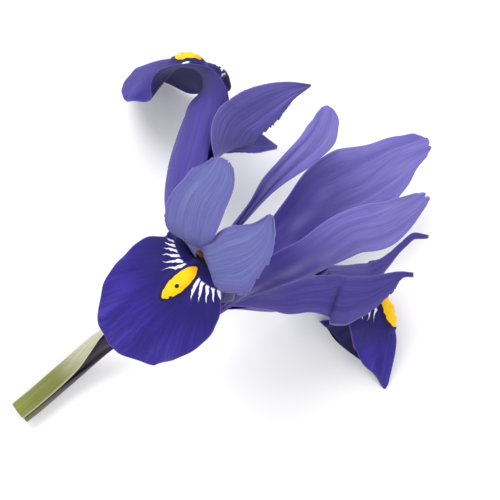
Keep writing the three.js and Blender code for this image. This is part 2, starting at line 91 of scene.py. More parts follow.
# ---- The perianth tube ----
# The slim tube that carries the flower like a stalk. It is thin tissue with six faint ribs,
# widens to the rim that all the petals stand on, and was cut across at its lower end.


def smooth(rows, t):
    """A smooth line through rows of numbers, for t from 0 to 1."""
    rows = np.asarray(rows, float)
    last = len(rows) - 1
    place = np.clip(t, 0, 1) * last
    i = np.minimum(place.astype(int), last - 1)
    f = (place - i)[..., None]
    rows = np.vstack([2 * rows[0] - rows[1], rows, 2 * rows[-1] - rows[-2]])
    a, b, c, d = rows[i], rows[i + 1], rows[i + 2], rows[i + 3]
    return b + 0.5 * f * (c - a + f * (2 * a - 5 * b + 4 * c - d + f * (3 * b - a - 3 * c + d)))


def unit(v):
    """Vectors brought to a length of one."""
    return v / np.maximum(np.linalg.norm(v, axis=-1, keepdims=True), 1e-9)


class Midrib:
    """Where a petal's middle runs, and which way its upper face looks on the way."""

    def __init__(self, points, faces):
        self.points, self.faces = np.asarray(points, float), np.asarray(faces, float)
        self.t = np.linspace(0, 1, 1201)
        steps = np.linalg.norm(np.diff(smooth(self.points, self.t), axis=0), axis=1)
        self.share = np.concatenate([[0], np.cumsum(steps)]) / steps.sum()

    def frame(self, share):
        """The point, the way the face looks and the way to the side, at a share of the length."""
        t = np.interp(np.clip(share, 0, 1), self.share, self.t)
        ahead, behind = np.minimum(t + 1e-3, 1), np.maximum(t - 1e-3, 0)
        along = unit(smooth(self.points, ahead) - smooth(self.points, behind))
        face = smooth(self.faces, t)
        face = unit(face - (face * along).sum(-1, keepdims=True) * along)
        return smooth(self.points, t), face, np.cross(along, face)


AXIS = unit(np.array([0.71, 0.54, 0.45]))  # which way the mouth of the tube looks
RIGHTWARDS = unit(np.cross([0, 0, -1], AXIS))
UPWARDS = -np.cross(AXIS, RIGHTWARDS)

TUBE_POINTS = [
    -0.01 * AXIS,
    -1.8 * AXIS,
    [-4.2, -2.6, -3.2],
    [-7.9, -3.8, -6.2],
    [-12.4, -4.8, -9.8],
    [-17.1, -7.1, -13.3],
    [-23.2, -12.2, -16.6],
    [-29.1, -17.3, -17.5],
    [-32.3, -19.9, -17.5],
]
# radii and rib height in millimetres; the flare is a share of the length, from the rim
TUBE_SIZES = {"Slim": 1.25, "Rim": 3.3, "Flare": 0.055, "Ribs": 6.0, "Rib Height": 0.05}
tube_rib = Midrib(TUBE_POINTS, [UPWARDS] + [[0, 0, 1]] * (len(TUBE_POINTS) - 1))


def plug(tree, socket, source):
    """Joins a socket to another node's output, or sets it to a plain value."""
    if isinstance(source, bpy.types.NodeSocket):
        tree.links.new(source, socket)
    else:
        socket.default_value = source


def maths(tree, operation, *terms):
    """One Math node, fed with the terms."""
    node = tree.nodes.new("ShaderNodeMath")
    node.operation = operation
    for socket, term in zip(node.inputs, terms):
        plug(tree, socket, term)
    return node.outputs[0]


# Each of the next five is a Math node for plain arithmetic.
def times(tree, first, second):
    return maths(tree, "MULTIPLY", first, second)


def plus(tree, first, second):
    return maths(tree, "ADD", first, second)


def minus(tree, first, second):
    return maths(tree, "SUBTRACT", first, second)


def over(tree, first, second):
    return maths(tree, "DIVIDE", first, second)


def power(tree, base, exponent):
    return maths(tree, "POWER", base, exponent)


def rising(tree, value, low, high):
    """A soft step from 0 to 1 as a value goes from one limit to the other."""
    node = tree.nodes.new("ShaderNodeMapRange")
    node.interpolation_type = "SMOOTHSTEP"
    for name, term in (("Value", value), ("From Min", low), ("From Max", high)):
        plug(tree, node.inputs[name], term)
    return node.outputs[0]


def blended(tree, share, first, second):
    """Two colours mixed by a share."""
    node = tree.nodes.new("ShaderNodeMix")
    node.data_type = "RGBA"
    plug(tree, node.inputs[0], share)
    plug(tree, node.inputs[6], first)
    plug(tree, node.inputs[7], second)
    return node.outputs[2]


def trace(tree, name):
    """A number that the petal carries over its surface."""
    node = tree.nodes.new("ShaderNodeAttribute")
    node.attribute_name = name
    return node.outputs["Fac"]


def mottle(tree, place, scale, detail=2.0, rough=0.5):
    """Cloudy noise, from 0 to 1, at a place."""
    node = tree.nodes.new("ShaderNodeTexNoise")
    if place is not None:
        plug(tree, node.inputs["Vector"], place)
    for name, term in (("Scale", scale), ("Detail", detail), ("Roughness", rough)):
        plug(tree, node.inputs[name], term)
    return node.outputs["Fac"]


def grain(tree, fineness, detail=2.0):
    """Cloudy noise too fine to see one by one, with so many clouds across the piece's own box."""
    return mottle(tree, None, fineness, detail)


def spot(tree, x, y):
    """A place on a flat map."""
    node = tree.nodes.new("ShaderNodeCombineXYZ")
    for socket, term in zip(node.inputs, (x, y)):
        plug(tree, socket, term)
    return node.outputs[0]


def colour(text):
    """A colour as painters write it, turned into the renderer's own numbers."""
    parts = [int(text[i : i + 2], 16) / 255 for i in (1, 3, 5)]
    return tuple(c / 12.92 if c <= 0.04045 else ((c + 0.055) / 1.055) ** 2.4 for c in parts) + (1.0,)


def tinted(tree, ground, text, mask, strength):
    """A ground colour with another laid over it by a mask."""
    return blended(tree, times(tree, mask, strength), ground, colour(text))


def tissue(name, rough, glow, sheen):
    """A petal's own skin: soft, a little see-through, with a bloom on it."""
    material = bpy.data.materials.new(name)
    material.use_nodes = True
    skin = material.node_tree.nodes["Principled BSDF"]
    skin.inputs["Roughness"].default_value = rough
    skin.inputs["Subsurface Weight"].default_value = glow
    skin.inputs["Subsurface Radius"].default_value = (0.6, 0.4, 1.0)
    skin.inputs["Subsurface Scale"].default_value = 0.0008
    skin.inputs["Sheen Weight"].default_value = sheen
    skin.inputs["Sheen Roughness"].default_value = 0.5
    skin.inputs["Specular IOR Level"].default_value = 0.22
    return material, material.node_tree, skin


def relief(tree, skin, height, depth):
    """Raises the skin by a height from 0 to 1, times a depth in metres."""
    node = tree.nodes.new("ShaderNodeBump")
    node.inputs["Strength"].default_value = 1.0
    node.inputs["Distance"].default_value = depth
    plug(tree, node.inputs["Height"], height)
    tree.links.new(node.outputs[0], skin.inputs["Normal"])


def grown(name, source, inputs, build):
    """Runs a tree of Geometry Nodes on a curve or mesh and keeps the plain mesh it makes."""
    group = bpy.data.node_groups.new(name, "GeometryNodeTree")
    group.interface.new_socket("Geometry", in_out="INPUT", socket_type="NodeSocketGeometry")
    sockets = {}
    for label, value in inputs.items():
        kind = {float: "NodeSocketFloat", int: "NodeSocketInt"}.get(type(value), "NodeSocketMaterial")
        sockets[label] = group.interface.new_socket(label, in_out="INPUT", socket_type=kind)
    group.interface.new_socket("Geometry", in_out="OUTPUT", socket_type="NodeSocketGeometry")
    given, made = group.nodes.new("NodeGroupInput").outputs, group.nodes.new("NodeGroupOutput").inputs
    whole = group.nodes.new("GeometryNodeRealizeInstances")
    plug(group, whole.inputs[0], build(group, given))
    coat = group.nodes.new("GeometryNodeSetMaterial")
    plug(group, coat.inputs["Geometry"], whole.outputs[0])
    plug(group, coat.inputs["Material"], given["Skin"])
    plug(group, made[0], coat.outputs[0])
    carrier = bpy.data.objects.new(name, source)
    scene.collection.objects.link(carrier)
    grower = carrier.modifiers.new(name, "NODES")
    grower.node_group = group
    for label, value in inputs.items():
        grower[sockets[label].identifier] = value
    depsgraph = bpy.context.evaluated_depsgraph_get()
    mesh = bpy.data.meshes.new_from_object(carrier.evaluated_get(depsgraph), depsgraph=depsgraph)
    bpy.data.objects.remove(carrier)
    return mesh


def node_with(tree, kind, **sockets):
    """One node of Geometry Nodes, with its named sockets fed."""
    node = tree.nodes.new(kind)
    for label, source in sockets.items():
        plug(tree, node.inputs[label.replace("_", " ")], source)
    return node


def kept(tree, geometry, label, value):
    """Keeps a number on the points of what is being grown."""
    node = tree.nodes.new("GeometryNodeStoreNamedAttribute")
    node.data_type, node.domain = "FLOAT", "POINT"
    plug(tree, node.inputs["Geometry"], geometry)
    plug(tree, node.inputs["Name"], label)
    plug(tree, node.inputs["Value"], value)
    return node.outputs[0]


def rail(name, points):
    """A plain curve through points in millimetres from the throat."""
    curve = bpy.data.curves.new(name, "CURVE")
    curve.dimensions = "3D"
    line = curve.splines.new("POLY")
    line.points.add(len(points) - 1)
    for knot, point in zip(line.points, (np.asarray(points) + THROAT) * MM):
        knot.co = (*point, 1)
    return curve


def tube_wall(tree, given):
    """A ribbed ring carried along the rail, wide at the rim and slim after it."""
    place = tree.nodes.new("GeometryNodeSplineParameter").outputs["Factor"]
    fade = maths(tree, "EXPONENT", times(tree, over(tree, place, given["Flare"]), -1.0))
    radius = maths(tree, "MULTIPLY_ADD", minus(tree, given["Rim"], given["Slim"]), fade, given["Slim"])
    radius = times(tree, radius, MM)
    path = kept(tree, given["Geometry"], "along", place)
    ring = node_with(tree, "GeometryNodeCurvePrimitiveCircle", Resolution=72, Radius=1.0).outputs[0]
    ring = kept(tree, ring, "around", tree.nodes.new("GeometryNodeSplineParameter").outputs["Factor"])
    wall = node_with(
        tree, "GeometryNodeCurveToMesh", Curve=path, Profile_Curve=ring, Scale=radius, Fill_Caps=True
    ).outputs[0]
    turn = times(tree, times(tree, trace_field(tree, "around"), given["Ribs"]), 2 * math.pi)
    lift = times(tree, times(tree, maths(tree, "COSINE", turn), given["Rib Height"]), MM)
    lifted = tree.nodes.new("ShaderNodeVectorMath")
    lifted.operation = "SCALE"
    plug(tree, lifted.inputs[0], tree.nodes.new("GeometryNodeInputNormal").outputs[0])
    plug(tree, lifted.inputs["Scale"], lift)
    wall = node_with(tree, "GeometryNodeSetPosition", Geometry=wall, Offset=lifted.outputs[0]).outputs[0]
    return node_with(tree, "GeometryNodeSetShadeSmooth", Geometry=wall).outputs[0]


def trace_field(tree, label):
    """A number that was kept on the points of what is being grown."""
    node = tree.nodes.new("GeometryNodeInputNamedAttribute")
    node.data_type = "FLOAT"
    node.inputs["Name"].default_value = label
    return node.outputs["Attribute"]


tube_skin, tree, skin = tissue("tube_skin", 0.42, 0.1, 0.1)
along, around = trace(tree, "along"), trace(tree, "around")
streak = mottle(tree, spot(tree, times(tree, around, 34.0), times(tree, along, 9.0)), 1.0, 3.0, 0.6)
# olive-brown at the cut, purple-brown along the middle, and violet at the rim
ground = blended(tree, rising(tree, along, 0.45, 0.85), colour("#271f3c"), colour("#5c5c3e"))
ground = blended(tree, rising(tree, along, 0.02, 0.16), colour("#2c2168"), ground)
ground = blended(tree, times(tree, rising(tree, streak, 0.35, 0.65), 0.5), ground, colour("#221a38"))
tree.links.new(ground, skin.inputs["Base Color"])
relief(tree, skin, maths(tree, "MULTIPLY_ADD", grain(tree, 1800.0), 0.4, streak), 0.0001)

tube_mesh = grown(
    "perianth_tube_wall",
    rail("perianth_tube_rail", tube_rib.frame(np.linspace(0, 1, 160))[0]),
    {**TUBE_SIZES, "Skin": tube_skin},
    tube_wall,
)


def put_in(name, mesh, node):
    """Puts a finished mesh in the scene in place of the CAD solid, with nothing below the table."""
    place = np.empty(len(mesh.vertices) * 3)
    mesh.vertices.foreach_get("co", place)
    place[2::3] = np.maximum(place[2::3], 0)
    mesh.vertices.foreach_set("co", place)
    mesh.update()
    piece = bpy.data.objects.new(name, mesh)
    scene.collection.objects.link(piece)
    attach(piece, "root")
    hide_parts(node)


put_in("perianth_tube_wall", tube_mesh, "perianth_tube")


# ---- The spathe ----
# Two papery bracts that sheathe the lower tube edge to edge: the outer one green with a pale
# dry margin and a long point, the inner one darker. Each is one leaf-like sheet.


FLAT_SPAN = 100.0  # millimetres across the square that holds a petal's flat map


def petal_mesh(name, rib, outline, rows, columns, thick, fold=(0, 0), fold_at=0.0, datum=0.0,
               shape=None, veins=None):
    """A thin closed petal. The outline's rows hold distance, half widths left and right of the
    midrib, lag and bend. The halves fold away from the face past fold_at. The flat map counts
    its lengths from datum."""
    across, along = np.meshgrid(np.linspace(-1, 1, columns + 1), np.linspace(0, 1, rows + 1))
    # the columns stand a little closer together towards the margins
    across = np.sign(across) * (1 - (1 - np.abs(across)) ** 1.15)
    table = smooth(outline, along)
    distance, left, right, lag, bend = (table[..., k] for k in range(5))
    half = np.where(across < 0, left, right)
    inset, rise, push = shape(across, along, distance) if shape else (0, 0, 0)
    length = outline[-1][0]
    reach = across * half * (1 - inset)
    point, face, side = rib.frame((distance - lag * across**2 - push) / length)
    # the bend across, and then the fold past fold_at
    flat = np.abs(bend) < 1e-3
    bend = np.where(flat, 1e-3, bend)
    sideways = np.sin(bend * reach) / bend
    rise = rise + (1 - np.cos(bend * reach)) / bend
    ramp = np.clip((distance - fold_at) / 5, 0, 1)
    crease = 1 - np.exp(-np.abs(reach) / 0.8)
    tilt = np.where(across < 0, fold[0], fold[1]) * ramp**2 * (3 - 2 * ramp) * crease
    sideways, rise = (
        np.sign(across) * (np.abs(sideways) * np.cos(tilt) + rise * np.sin(tilt)),
        rise * np.cos(tilt) - np.abs(sideways) * np.sin(tilt),
    )
    middle = point + side * sideways[..., None] + face * rise[..., None]
    normal = unit(np.cross(np.gradient(middle, axis=1), np.gradient(middle, axis=0)))
    # the wall: thin at the margins and the tip, thicker over the midrib
    edge = np.clip((1 - np.abs(across)) * half / 0.9, 0, 1) * np.clip((1 - along) * length / 1.2, 0, 1)
    wall = thick * (0.35 + 0.65 * np.sqrt(edge)) * (1 + 0.5 * np.exp(-((across * half / 0.8) ** 2)))
    wall = (wall / 2)[..., None]
    upper, lower = middle + normal * wall, middle - normal * wall
    count, wide = upper[..., 0].size, columns + 1
    verts = np.concatenate([upper.reshape(-1, 3), lower.reshape(-1, 3)])
    index = np.arange(count).reshape(rows + 1, wide)
    # the upper side, the underside and the four edges between them
    p, q, r, s = index[:-1, :-1], index[:-1, 1:], index[1:, 1:], index[1:, :-1]
    quads = [np.stack([p, q, r, s], -1).reshape(-1, 4), count + np.stack([p, s, r, q], -1).reshape(-1, 4)]
    for a, b in ((index[:-1, 0], index[1:, 0]), (index[1:, -1], index[:-1, -1]),
                 (index[0, 1:], index[0, :-1]), (index[-1, :-1], index[-1, 1:])):
        quads.append(np.stack([a, b, b + count, a + count], -1))
    quads = np.concatenate(quads)
    verts = (verts + THROAT) * MM
    verts[:, 2] = np.maximum(verts[:, 2], 0)
    mesh = bpy.data.meshes.new(name)
    mesh.from_pydata(verts.tolist(), [], quads.tolist())
    mesh.polygons.foreach_set("use_smooth", np.ones(len(quads), bool))
    # the flat map, and the numbers that the materials read
    corners = quads.ravel() % count
    ahead = distance - datum - lag * across**2
    flat_map = np.stack([reach.ravel(), ahead.ravel()], -1) / FLAT_SPAN + 0.5
    layer = mesh.uv_layers.new(name="petal")
    layer.data.foreach_set("uv", flat_map[corners].ravel())
    vein = veins(reach, ahead) if veins else across
    for label, values in (
        ("vein", np.tile(vein.ravel(), 2)),
        ("margin", np.tile((np.maximum(np.abs(across), (along - 0.9) * 10)).ravel(), 2)),
        ("upper", np.repeat([1.0, 0.0], count)),
    ):
        mesh.attributes.new(label, "FLOAT", "POINT").data.foreach_set("value", values)
    mesh.update()
    return mesh


def finished(name, mesh, material):
    """Gives a petal its skin and puts it in place of the CAD solid of the same name."""
    mesh.materials.append(material)
    put_in(name + "_petal", mesh, name)


def built_group(name, inputs, outputs):
    """An empty group of shader nodes with plain numbers in and out."""
    group = bpy.data.node_groups.new(name, "ShaderNodeTree")
    for label, value in inputs:
        socket = group.interface.new_socket(label, in_out="INPUT", socket_type="NodeSocketFloat")
        socket.default_value = value
    for label in outputs:
        group.interface.new_socket(label, in_out="OUTPUT", socket_type="NodeSocketFloat")
    return group, group.nodes.new("NodeGroupInput").outputs, group.nodes.new("NodeGroupOutput").inputs


# The veins that run the length of every petal: broad soft bands, fine lines, and the
# height of both for the relief.
veining, given, made = built_group(
    "petal_veins",
    [("Across", 0.0), ("Along", 0.0), ("Bands", 8.0), ("Lines", 40.0), ("Waver", 0.15)],
    ["Band", "Line", "Height"],
)
coarse = spot(veining, times(veining, given["Across"], 3.0), times(veining, given["Along"], 0.16))
waver = times(veining, given["Waver"], minus(veining, mottle(veining, coarse, 1.0, 2.0), 0.5))
bent = plus(veining, given["Across"], waver)
slow = times(veining, given["Along"], 0.05)
band = mottle(veining, spot(veining, times(veining, bent, given["Bands"]), slow), 1.0, 2.0, 0.55)
fine = spot(veining, times(veining, bent, given["Lines"]), times(veining, slow, 3.0))
line = mottle(veining, fine, 1.0, 3.0, 0.6)
veining.links.new(rising(veining, band, 0.36, 0.64), made["Band"])
veining.links.new(rising(veining, line, 0.38, 0.62), made["Line"])
veining.links.new(maths(veining, "MULTIPLY_ADD", line, 0.6, times(veining, band, 0.4)), made["Height"])


def flat_place(tree):
    """Millimetres sideways from the midrib and along it, read from the petal's own flat map."""
    node = tree.nodes.new("ShaderNodeUVMap")
    node.uv_map = "petal"
    split = tree.nodes.new("ShaderNodeSeparateXYZ")
    tree.links.new(node.outputs[0], split.inputs[0])
    return [times(tree, minus(tree, split.outputs[k], 0.5), FLAT_SPAN) for k in (0, 1)]


def veins_in(tree, bands, lines, waver):
    """The veins placed in a petal's own material."""
    node = tree.nodes.new("ShaderNodeGroup")
    node.node_tree = veining
    plug(tree, node.inputs["Across"], trace(tree, "vein"))
    plug(tree, node.inputs["Along"], flat_place(tree)[1])
    node.inputs["Bands"].default_value, node.inputs["Lines"].default_value = bands, lines
    node.inputs["Waver"].default_value = waver
    return node.outputs["Band"], node.outputs["Line"], node.outputs["Height"]


VALVES = {
    # turn: degrees round the tube, from its right side over the top, to the valve's middle
    # wrap: degrees from the middle to each margin
    # start: share of the tube's length, from the rim, at which the valve's point lies
    "bract": dict(turn=149, wrap=96, start=0.45, radius=1.95),
    "bracteole": dict(turn=-32, wrap=78, start=0.47, radius=1.95),
}
# share of the length from the cut, share of the half width, lag of the margin
VALVE_SHAPE = ((0, 1, 0), (0.2, 1, 0), (0.4, 0.98, 0), (0.6, 0.88, 0.8), (0.8, 0.62, 1.2), (1, 0.16, 0.5))
papery, tree, skin = tissue("spathe_papery", 0.5, 0.15, 0.05)
band, line, height = veins_in(tree, 5.0, 24.0, 0.05)
side, ahead = flat_place(tree)
ground = blended(tree, rising(tree, ahead, 8.0, 18.0), colour("#6f7038"), colour("#c4c0ae"))
ground = blended(tree, rising(tree, ahead, -2.0, 6.0), colour("#76803a"), ground)
ground = tinted(tree, ground, "#8a9048", band, 0.35)
ground = tinted(tree, ground, "#5d6630", minus(tree, 1.0, line), 0.3)
rim = rising(tree, trace(tree, "margin"), 0.8, 1.0)
ground = tinted(tree, ground, "#c9c5b0", rim, 0.6)
inner = blended(tree, rising(tree, ahead, 0.0, 13.0), colour("#6d6640"), colour("#332b45"))
inner = tinted(tree, inner, "#4a4238", band, 0.4)
ground = blended(tree, trace(tree, "inner"), ground, inner)
tree.links.new(ground, skin.inputs["Base Color"])
relief(tree, skin, height, 0.0001)

for name, valve in VALVES.items():
    share = np.linspace(1, valve["start"], 24)
    point, face, side_way = tube_rib.frame(share)
    turn = math.radians(valve["turn"])
    outward = -side_way * math.cos(turn) + face * math.sin(turn)
    points = point + outward * valve["radius"]
    length = float(np.linalg.norm(np.diff(points, axis=0), axis=1).sum())
    half = math.radians(valve["wrap"]) * valve["radius"]
    curl = -1 / valve["radius"]
    outline = [[part * length, size * half, size * half, lag, curl] for part, size, lag in VALVE_SHAPE]
    rib = Midrib(points, outward)
    mesh = petal_mesh(f"spathe_{name}_petal", rib, outline, rows=90, columns=40, thick=0.3)
    kind = np.full(len(mesh.vertices), float(name == "bracteole"))
    mesh.attributes.new("inner", "FLOAT", "POINT").data.foreach_set("value", kind)
    finished(f"spathe_{name}", mesh, papery)


# ---- The falls ----
# Three broad outer petals: a channelled haft that leads up from the tube, then a round
# velvety blade with a raised yellow signal at its throat. Each grows from the rim of the tube.


TEPAL_RING, STAMEN_RING, STYLE_RING = 2.75, 1.8, 0.95  # radii on which the pieces stand


def foot(turn, radius, spread):
    """Where a petal stands on the tube's rim, and a point just after it."""
    turn = math.radians(turn)
    outward = RIGHTWARDS * math.cos(turn) + UPWARDS * math.sin(turn)
    start = outward * radius + AXIS * 0.35
    return [start, start + AXIS * 2 + outward * spread], [-outward, -outward]


# turn: degrees round the rim; haft: length up to the throat of the blade; crease and fold: where
# the halves start to fold away from the face, and by how many radians each does so.
# An outline's rows hold: distance from the rim, half widths left and right of the midrib, how
# far the margin lags behind the midrib, and the bend across in radians per millimetre.
# points: where the midrib runs, from the throat; faces: which way the upper face looks there.
FALLS = {
    "front": dict(
        turn=100, haft=26, crease=26, fold=(0, 0),
        outline=[
            [0, 1.6, 1.6, 0, 0.37],
            [6.5, 2.5, 2.5, 0, 0.34],
            [13, 3.2, 3.2, 0, 0.3],
            [19.5, 3.8, 3.8, 0, 0.24],
            [24.44, 5.2, 7.2, 0, 0.06],
            [27.2, 4.91, 7.3, 1.6, -0.02],
            [31, 8.52, 9.2, 1.6, -0.03],
            [36, 9.94, 9.3, 1.2, -0.04],
            [41.5, 9.05, 8.28, 1.8, -0.04],
            [46, 7.63, 5.91, 3, -0.04],
        ],
        points=[
            [1.4, 1.8, 9], [1.2, 4, 16], [0.1, 5.7, 22.5], [0.6, 6.5, 27],
            [-2.5, 3.9, 29.6], [-6.5, 0.4, 28.7], [-14.1, -5.9, 24],
        ],
        faces=[
            [0.75, 0.6, 0.1], [0.7, 0.7, 0.2], [0.6, 0.75, 0.3], [0.4, 0.55, 0.75],
            [0.05, 0.1, 1], [0, 0, 1], [-0.15, -0.25, 1],
        ],
    ),
    "right": dict(
        turn=-38, haft=32.4, crease=26.7, fold=(1.12, 1.05),
        outline=[
            [0, 1.5, 1.5, 0, 0.37],
            [6.67, 2.5, 2.5, 0, 0.34],
            [13.34, 3.4, 3.4, 0, 0.3],
            [20.01, 4.2, 4.03, 0, 0.24],
            [25.73, 5.62, 4.26, 0, 0.12],
            [29.54, 5, 2.4, 0.4, 0.02],
            [32.88, 10.4, 6.85, -0.6, -0.01],
            [36.69, 11.8, 7.88, 0.62, -0.02],
            [40.98, 14.07, 7.79, 0.48, -0.02],
            [45.75, 11.38, 6.4, -0.71, -0.02],
            [50.04, 2.62, 2.59, -0.1, -0.02],
            [52.42, 0.5, 0.71, 0, 0],
        ],
        points=[
            [8, -1, -2], [12.5, -1.4, -5.4], [17.2, -0.7, -8.2], [22.5, 0.4, -10.6],
            [27, 4.8, -11.5], [29.7, 3, -11], [32, -0.4, -11.3], [33.3, -3.6, -12.5],
            [34.1, -7.8, -15.6], [32.8, -15.5, -19.7],
        ],
        faces=[
            [-0.2, 0.9, 0.4], [0, 0.95, 0.2], [0.1, 0.95, 0.1], [0.2, 0.95, 0.1],
            [0.3, 0.9, 0.1], [0.6, 0.75, 0.1], [0.95, 0.4, 0.1], [1, 0, 0.1],
            [0.95, -0.15, 0], [0.9, -0.2, -0.1],
        ],
    ),
    "back": dict(
        turn=200, haft=39, crease=39, fold=(0.35, 0.6),
        outline=[
            [0, 1.5, 1.5, 0, 0.37],
            [7, 2.7, 2.8, 0, 0.32],
            [14, 4.8, 3.7, 0, 0.27],
            [21, 5.3, 3.9, 0, 0.25],
            [27, 4.4, 3.9, 0, 0.24],
            [32, 5.4, 4.4, 0, 0.18],
            [36.5, 6.8, 6.2, 0, 0.06],
            [40.2, 8.4, 8.6, 1.6, -0.02],
            [44, 10.2, 10.4, 1.6, -0.03],
            [49, 10.8, 10.8, 1.2, -0.036],
            [54.5, 9.8, 9.8, 1.8, -0.036],
            [59, 7.4, 7.4, 3, -0.036],
        ],
        points=[
            [-0.9, 6.9, 0], [-3.9, 11.4, -0.3], [-4.7, 16.6, 0], [-4, 21.9, 0.2],
            [-2.7, 26.7, 0], [-1, 32, -0.6], [0.7, 37.3, -1.8], [-0.9, 41.4, -3.8],
            [-6.6, 42, -11.4], [-12, 41, -18.6],
        ],
        faces=[
            [0.8, -0.3, -0.2], [0.75, 0, -0.5], [0.65, 0.05, -0.7], [0.62, 0.1, -0.75],
            [0.62, 0.15, -0.75], [0.65, 0.3, -0.6], [0.5, 0.6, -0.2], [0, 0.95, 0.3],
            [-0.15, 0.98, 0.15], [-0.3, 0.95, 0.15],
        ],
    ),
}


def fall_rib(name):
    """A fall's midrib, from the rim of the tube to its tip."""
    fall = FALLS[name]
    start, looks = foot(fall["turn"], TEPAL_RING, 0.5)
    return Midrib(start + fall["points"], looks + fall["faces"])


def fall_shape(seed, fall):
    """The signal's raised ridge, a softly waved margin and shallow furrows."""

    def shape(across, along, distance):
        past = distance - fall["haft"]
        halves = smooth(fall["outline"], along)
        reach = across * np.where(across < 0, halves[..., 1], halves[..., 2])
        inset = 0.006 * np.sin(31 * along + 4 * across + seed) + 0.005 * np.sin(67 * along - seed)
        inset = inset * np.abs(across) ** 3
        inside = np.clip((past + 1.5) / 10, 0, 1)
        body = np.sin(np.pi * inside) ** 0.6 * np.exp(-((np.abs(reach) / 1.3) ** 3))
        body = body * (1 + 0.15 * np.sin(3.1 * past + seed) * np.cos(2.3 * reach))
        wave = 0.35 * np.abs(across) ** 3 * np.sin(9 * along + 2.5 * across) * along
        swell = np.sin(2.2 * past / 3 + 2 * across + seed) * np.clip(past / 5, 0, 1)
        wave = wave + 0.25 * across**2 * swell
        furrow = 0.035 * np.cos(14 * across) * np.clip(past / 6, 0, 1)
        push = 0.25 * np.sin(7 * across + seed) * np.clip((along - 0.85) / 0.15, 0, 1)
        return inset, 0.95 * body + wave + furrow, push

    return shape


FAN_ROOT = 4  # the veins fan out from a point this far below the throat of the fall


def fan(reach, ahead):
    """The direction of a place on the fall, seen from the root of its veins."""
    return np.arctan2(reach, np.maximum(ahead, -3) + FAN_ROOT)


def gap_to(tree, side, ahead, x, y):
    """How far a place on the flat map lies from the place x, y."""
    squares = [power(tree, minus(tree, term, home), 2.0) for term, home in ((side, x), (ahead, y))]
    return maths(tree, "SQRT", plus(tree, *squares))


velvet, tree, skin = tissue("fall_velvet", 0.6, 0.12, 0.05)
band, line, height = veins_in(tree, 7.0, 34.0, 0.12)
side, ahead = flat_place(tree)
ray = gap_to(tree, side, ahead, 0.0, -float(FAN_ROOT))
lean = maths(tree, "ARCTAN2", side, plus(tree, ahead, float(FAN_ROOT)))
upper = trace(tree, "upper")
# the blade: navy at the throat, deep violet in the middle, brighter towards the margin
ground = blended(tree, rising(tree, ray, 9.0, 17.0), colour("#140b52"), colour("#33218f"))
ground = blended(tree, rising(tree, ray, 15.0, 25.0), ground, colour("#46349f"))
ground = tinted(tree, ground, "#1c1070", band, 0.7)
ground = tinted(tree, ground, "#160b60", minus(tree, 1.0, line), 0.45)
rim = rising(tree, trace(tree, "margin"), 0.965, 1.0)
ground = tinted(tree, ground, "#6453b0", rim, 0.6)
# the haft: dark navy in the channel, partly its own colour and partly painted shade from the style arm
# above it
ground = blended(tree, rising(tree, ahead, -9.0, -2.0), colour("#1e165a"), ground)
# the underside: blue-violet under the haft, and painted shade makes it nearly black under the blade
below = blended(tree, rising(tree, ahead, -7.0, 2.0), colour("#4d4496"), colour("#221a50"))
below = tinted(tree, below, "#3b3180", band, 0.4)
ground = blended(tree, upper, below, ground)

# white strokes that fan out on both sides of the signal, each wide at its near end
STROKE_FIRST = 15.0  # degrees from the midrib to the first stroke
STROKE_PITCH = 8.4  # degrees from one stroke to the next
STROKE_HALF_WIDTH = 0.38  # of the pitch
ripple = minus(tree, mottle(tree, spot(tree, side, ahead), 0.9, 2.0), 0.5)
degrees = times(tree, maths(tree, "ABSOLUTE", lean), 57.3)
degrees = plus(tree, degrees, times(tree, ripple, 7.0))
degrees = minus(tree, degrees, times(tree, power(tree, minus(tree, ray, 5.0), 2.0), 0.28))
count = over(tree, minus(tree, degrees, STROKE_FIRST), STROKE_PITCH)
offset = maths(tree, "ABSOLUTE", minus(tree, maths(tree, "FRACT", plus(tree, count, 0.5)), 0.5))
near = plus(tree, 5.4, times(tree, degrees, 0.022))
far = minus(tree, 10.2, times(tree, degrees, 0.036))
far = plus(tree, far, times(tree, ripple, 1.5))
part = over(tree, minus(tree, ray, near), minus(tree, far, near))
taper = minus(tree, 1.0, power(tree, maths(tree, "MAXIMUM", part, 0.0), 1.1))
stroke = rising(tree, minus(tree, times(tree, taper, STROKE_HALF_WIDTH), offset), 0.0, 0.07)
for mask in (
    rising(tree, ray, minus(tree, near, 0.1), plus(tree, near, 0.25)),
    rising(tree, degrees, 9.0, 12.0),
    rising(tree, degrees, 62.0, 54.0),
    upper,
):
    stroke = times(tree, stroke, mask)
ground = blended(tree, stroke, ground, colour("#eceafc"))

# the signal: a yellow lozenge with an orange root, two dark specks and a dark surround
SIGNAL_MIDDLE, SIGNAL_HALF_LENGTH, SIGNAL_HALF_WIDTH = 4.3, 3.3, 1.15
SIGNAL_TAPER = 0.55  # how much less its half width is at the ends
SPECKS = ((-0.15, 4.9, 0.33), (-0.75, 6.6, 0.3))  # sideways, ahead, radius
length_share = over(tree, minus(tree, ahead, SIGNAL_MIDDLE), SIGNAL_HALF_LENGTH)
half_here = minus(tree, SIGNAL_HALF_WIDTH, times(tree, power(tree, length_share, 2.0), SIGNAL_TAPER))
lozenge = plus(tree, power(tree, over(tree, side, half_here), 2.0), power(tree, length_share, 4.0))
lozenge = plus(tree, lozenge, times(tree, ripple, 0.9))
surround = times(tree, rising(tree, lozenge, 2.6, 1.1), minus(tree, 0.85, stroke))
ground = blended(tree, surround, ground, colour("#0c0834"))
yellow = blended(tree, rising(tree, ahead, 0.9, 2.4), colour("#f08a00"), colour("#fdc400"))
flecks = rising(tree, mottle(tree, spot(tree, side, ahead), 5.0, 2.0), 0.5, 0.8)
yellow = blended(tree, flecks, yellow, colour("#f6ad05"))
ground = blended(tree, times(tree, rising(tree, lozenge, 1.06, 0.94), upper), ground, yellow)
for x, y, radius in SPECKS:
    speck = rising(tree, gap_to(tree, side, ahead, x, y), radius, radius * 0.7)
    ground = blended(tree, times(tree, speck, upper), ground, colour("#120a3c"))
